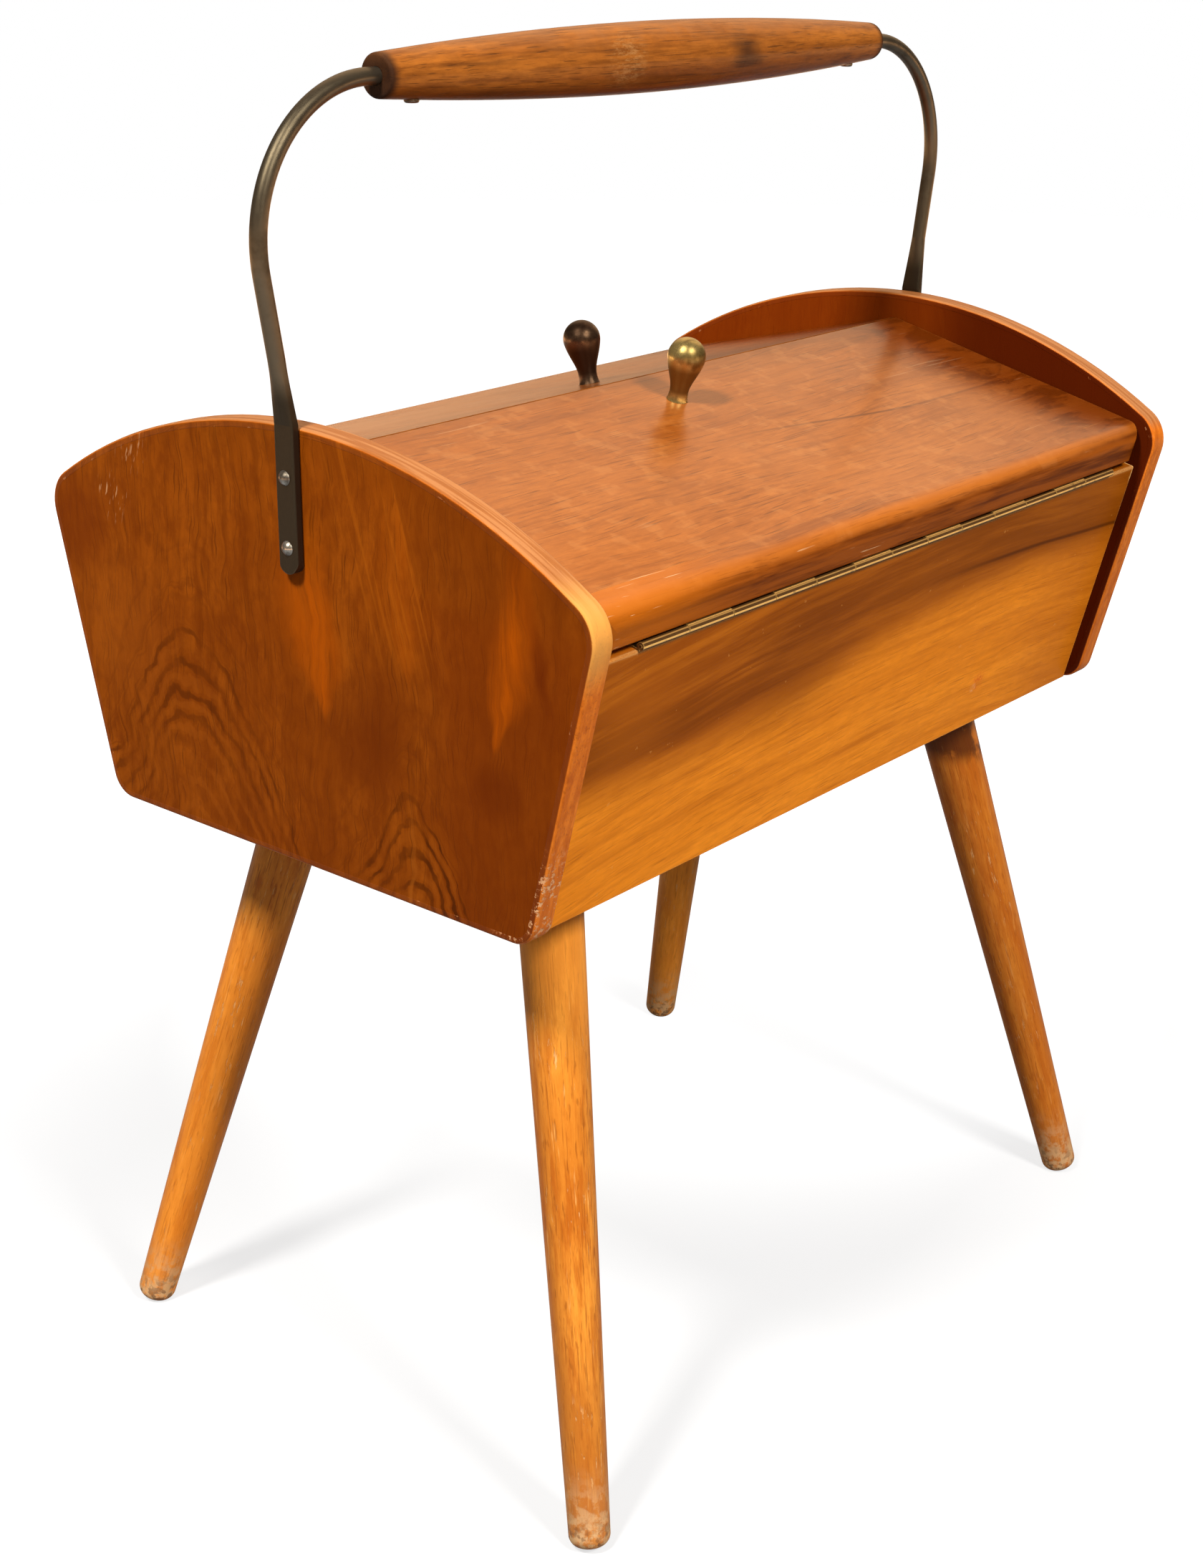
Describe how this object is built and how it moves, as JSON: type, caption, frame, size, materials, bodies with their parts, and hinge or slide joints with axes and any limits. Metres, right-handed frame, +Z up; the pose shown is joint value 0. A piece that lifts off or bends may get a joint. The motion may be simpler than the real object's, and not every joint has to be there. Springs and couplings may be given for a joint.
{
  "type": "sewing carrier",
  "caption": "Leaning box with domed end panels, two lids on piano hinges, splayed round legs and a bow handle with a wooden grip.",
  "frame": {"origin": "on the floor under the middle of the box, at the bottom centre of the bounding box", "axes": "+X along the lids' ridge and the handle's grip towards the right end panel, -Y towards the front lid, +Z up"},
  "size_m": [0.4444, 0.2892, 0.575],
  "materials": {
    "end_veneer": "satin dark reddish-brown veneer",
    "lipping_wood": "satin pale honey solid strip",
    "panel_wood": "satin honey-gold veneer with dark streaks",
    "lid_wood": "satin orange-brown",
    "nose_wood": "satin orange-brown, worn along the rounded edge",
    "leg_wood": "satin honey beech, worn feet",
    "inner_wood": "bare wood",
    "grip_wood": "satin brown turned wood",
    "hinge_brass": "aged brass",
    "knob_front_brass": "polished brass",
    "knob_rear_brass": "darkened brass",
    "rod_bronze": "dark bronzed steel, worn",
    "screw_steel": "plain steel"
  },
  "bodies": {
    "box": {"bottom_panel": "inner_wood", "end_panel_left": "end_veneer", "end_panel_right": "end_veneer", "front_hinge_fixed_leaf": "hinge_brass", "front_hinge_panel_screws": "hinge_brass", "front_hinge_pin": "hinge_brass", "front_panel": "panel_wood", "grip_screws": "screw_steel", "handle_grip": "grip_wood", "handle_rod_left": "rod_bronze", "handle_rod_right": "rod_bronze", "handle_screws": "screw_steel", "leg_block_front_left": "inner_wood", "leg_block_front_right": "inner_wood", "leg_block_rear_left": "inner_wood", "leg_block_rear_right": "inner_wood", "leg_bolts": "screw_steel", "leg_front_left": "leg_wood", "leg_front_right": "leg_wood", "leg_rear_left": "leg_wood", "leg_rear_right": "leg_wood", "lid_rest_front_left": "inner_wood", "lid_rest_front_right": "inner_wood", "lid_rest_rear_left": "inner_wood", "lid_rest_rear_right": "inner_wood", "lipping_left": "lipping_wood", "lipping_right": "lipping_wood", "panel_dowels": "inner_wood", "rear_hinge_fixed_leaf": "hinge_brass", "rear_hinge_panel_screws": "hinge_brass", "rear_hinge_pin": "hinge_brass", "rear_panel": "panel_wood"},
    "front_lid": {"front_lid_board": "lid_wood", "front_lid_nose": "nose_wood", "front_knob": "knob_front_brass", "front_knob_screw": "screw_steel", "front_hinge_moving_leaf": "hinge_brass", "front_hinge_lid_screws": "hinge_brass"},
    "rear_lid": {"rear_lid_board": "lid_wood", "rear_lid_nose": "nose_wood", "rear_knob": "knob_rear_brass", "rear_knob_screw": "screw_steel", "rear_hinge_moving_leaf": "hinge_brass", "rear_hinge_lid_screws": "hinge_brass"}
  },
  "joints": [
    {"name": "front_lid_hinge", "type": "hinge", "parent": "box", "child": "front_lid", "pos_m": [0, -0.13642, 0.37863], "axis": [1, 0, 0], "range_deg": [0, 180]},
    {"name": "rear_lid_hinge", "type": "hinge", "parent": "box", "child": "rear_lid", "pos_m": [0, 0.13642, 0.37863], "axis": [-1, 0, 0], "range_deg": [0, 180]}
  ]
}
